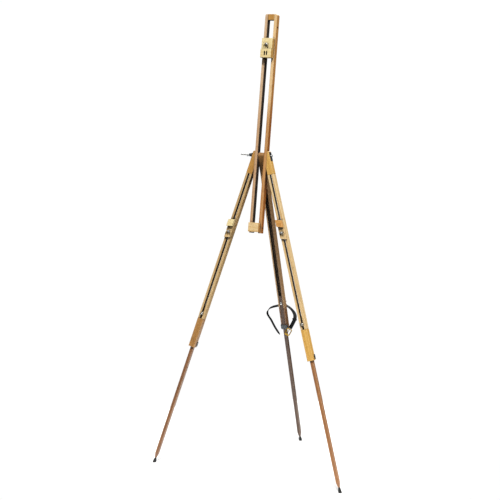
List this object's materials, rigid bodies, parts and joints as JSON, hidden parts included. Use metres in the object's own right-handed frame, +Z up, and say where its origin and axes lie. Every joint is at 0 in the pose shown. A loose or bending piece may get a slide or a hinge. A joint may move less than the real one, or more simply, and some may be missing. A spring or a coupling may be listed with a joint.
{
  "type": "folding artist easel",
  "caption": "Folding wooden field easel with a tall slotted mast, telescopic tripod legs, a sliding canvas clamp, canvas ledges and a leather carrying strap.",
  "frame": {"origin": "on the floor, midway between the feet: the bottom centre of the bounding box", "axes": "+Z up, the front with the canvas ledges towards -Y, +X to the right seen from the front"},
  "size_m": [0.8134, 0.5319, 1.7512],
  "materials": {
    "beech_pale": "pale lacquered beech",
    "beech_honey": "honey lacquered beech",
    "beech_brown": "brown lacquered beech",
    "steel": "dull zinc-plated steel",
    "brass": "polished",
    "rubber": "matt black",
    "leather": "black, satin"
  },
  "bodies": {
    "hub": {"hub_bush": "steel"},
    "mast": {"mast_left_rail": "beech_pale", "mast_right_rail": "beech_pale", "mast_top_block": "beech_honey", "mast_foot_ledge": "beech_pale", "mast_foot_spacer": "beech_honey"},
    "mast_clamp": {"clamp_block": "beech_pale", "clamp_lip": "beech_pale", "clamp_left_screw": "steel", "clamp_right_screw": "steel", "clamp_back_plate": "beech_honey", "clamp_bolt": "steel"},
    "mast_clamp_nut": {"clamp_wing_nut": "steel"},
    "rear_leg": {"rear_leg_head": "beech_brown", "rear_leg_left_rail": "beech_brown", "rear_leg_right_rail": "beech_brown", "rear_leg_lower_block": "beech_brown", "rear_leg_guide": "steel", "strap_screw": "steel", "leather_strap": "leather"},
    "rear_lower_leg": {"rear_extension": "beech_brown", "rear_clamp_bolt": "steel", "rear_rubber_tip": "rubber"},
    "rear_clamp_nut": {"rear_clamp_wing_nut": "steel"},
    "buckle": {"buckle_frame": "brass"},
    "prong": {"buckle_prong": "brass"},
    "hub_bolt": {"hub_bolt": "steel"},
    "hub_washer": {"hub_washer": "steel"},
    "hub_nut": {"hub_wing_nut": "steel"},
    "left_leg": {"left_leg_head": "beech_honey", "left_leg_left_rail": "beech_pale", "left_leg_right_rail": "beech_pale", "left_leg_lower_block": "beech_honey", "left_leg_guide": "steel", "left_head_plate": "steel"},
    "left_lower_leg": {"left_extension": "beech_brown", "left_clamp_bolt": "steel", "left_rubber_tip": "rubber"},
    "left_clamp_nut": {"left_clamp_wing_nut": "steel"},
    "left_holder": {"left_holder_plate": "beech_pale", "left_holder_ledge": "beech_pale", "left_holder_bolt": "steel"},
    "left_holder_nut": {"left_holder_wing_nut": "steel"},
    "right_leg": {"right_leg_head": "beech_honey", "right_leg_left_rail": "beech_pale", "right_leg_right_rail": "beech_pale", "right_leg_lower_block": "beech_honey", "right_leg_guide": "steel", "right_head_plate": "steel"},
    "right_lower_leg": {"right_extension": "beech_brown", "right_clamp_bolt": "steel", "right_rubber_tip": "rubber"},
    "right_clamp_nut": {"right_clamp_wing_nut": "steel"},
    "right_holder": {"right_holder_plate": "beech_pale", "right_holder_ledge": "beech_pale", "right_holder_bolt": "steel"},
    "right_holder_nut": {"right_holder_wing_nut": "steel"}
  },
  "joints": [
    {"name": "mast_tilt", "type": "hinge", "parent": "hub", "child": "mast", "pos_m": [0, -0.1085, 1.224], "axis": [-1, 0, 0], "range_deg": [-12, 75]},
    {"name": "mast_clamp_slide", "type": "slide", "parent": "mast", "child": "mast_clamp", "axis": [0, 0.1676, 0.9859], "range_m": [-0.3, 0.07]},
    {"name": "mast_clamp_nut_turn", "type": "hinge", "parent": "mast_clamp", "child": "mast_clamp_nut", "pos_m": [0, -0.06877, 1.64023], "axis": [0, -0.9859, 0.1676], "continuous": true},
    {"name": "rear_leg_swing", "type": "hinge", "parent": "hub", "child": "rear_leg", "pos_m": [0, -0.1085, 1.224], "axis": [-1, 0, 0], "range_deg": [0, 23]},
    {"name": "rear_leg_extend", "type": "slide", "parent": "rear_leg", "child": "rear_lower_leg", "axis": [0, -0.2908, 0.9568], "range_m": [0, 0.48]},
    {"name": "rear_clamp_nut_turn", "type": "hinge", "parent": "rear_lower_leg", "child": "rear_clamp_nut", "pos_m": [0, 0.08551, 0.62451], "axis": [0, 0.9568, 0.2908], "continuous": true},
    {"name": "buckle_swing", "type": "hinge", "parent": "rear_leg", "child": "buckle", "pos_m": [0.03065, 0.08078, 0.51351], "axis": [0.7896, 0.3968, -0.468], "range_deg": [-40, 40]},
    {"name": "prong_lift", "type": "hinge", "parent": "buckle", "child": "prong", "pos_m": [0.03065, 0.08078, 0.51351], "axis": [0.7896, 0.3968, -0.468], "range_deg": [0, 30]},
    {"name": "left_leg_fold", "type": "hinge", "parent": "hub", "child": "left_leg", "pos_m": [-0.0253, -0.11462, 1.17566], "axis": [0, 0.9921, -0.1256], "range_deg": [-16.32, 0]},
    {"name": "left_leg_extend", "type": "slide", "parent": "left_leg", "child": "left_lower_leg", "axis": [0.2919, 0.1202, 0.9489], "range_m": [0, 0.285]},
    {"name": "left_clamp_nut_turn", "type": "hinge", "parent": "left_lower_leg", "child": "left_clamp_nut", "pos_m": [-0.21322, -0.19781, 0.60865], "axis": [0, -0.9921, 0.1256], "continuous": true},
    {"name": "left_holder_slide", "type": "slide", "parent": "left_leg", "child": "left_holder", "axis": [0.2919, 0.1202, 0.9489], "range_m": [-0.2, 0.2]},
    {"name": "left_holder_nut_turn", "type": "hinge", "parent": "left_holder", "child": "left_holder_nut", "pos_m": [-0.11369, -0.16507, 0.93326], "axis": [0, -0.9921, 0.1256], "continuous": true},
    {"name": "right_leg_fold", "type": "hinge", "parent": "hub", "child": "right_leg", "pos_m": [0.0253, -0.11462, 1.17566], "axis": [0, -0.9921, 0.1256], "range_deg": [-16.32, 0]},
    {"name": "right_leg_extend", "type": "slide", "parent": "right_leg", "child": "right_lower_leg", "axis": [-0.2919, 0.1202, 0.9489], "range_m": [0, 0.285]},
    {"name": "right_clamp_nut_turn", "type": "hinge", "parent": "right_lower_leg", "child": "right_clamp_nut", "pos_m": [0.21322, -0.19781, 0.60865], "axis": [0, -0.9921, 0.1256], "continuous": true},
    {"name": "right_holder_slide", "type": "slide", "parent": "right_leg", "child": "right_holder", "axis": [-0.2919, 0.1202, 0.9489], "range_m": [-0.2, 0.2]},
    {"name": "right_holder_nut_turn", "type": "hinge", "parent": "right_holder", "child": "right_holder_nut", "pos_m": [0.11077, -0.16387, 0.94275], "axis": [0, -0.9921, 0.1256], "continuous": true},
    {"name": "hub_bolt_slide", "type": "slide", "parent": "hub", "child": "hub_bolt", "axis": [1, 0, 0], "range_m": [0, 0.01086]},
    {"name": "hub_washer_slide", "type": "slide", "parent": "hub", "child": "hub_washer", "axis": [-1, 0, 0], "range_m": [0, 0.01086]},
    {"name": "hub_nut_turn", "type": "hinge", "parent": "hub_washer", "child": "hub_nut", "pos_m": [-0.04268, -0.1085, 1.224], "axis": [-1, 0, 0], "continuous": true}
  ],
  "couplings": [
    {"joint": "hub_bolt_slide", "follows": "right_leg_fold", "m_per_rad": -0.03778},
    {"joint": "hub_washer_slide", "follows": "left_leg_fold", "m_per_rad": -0.03778}
  ]
}
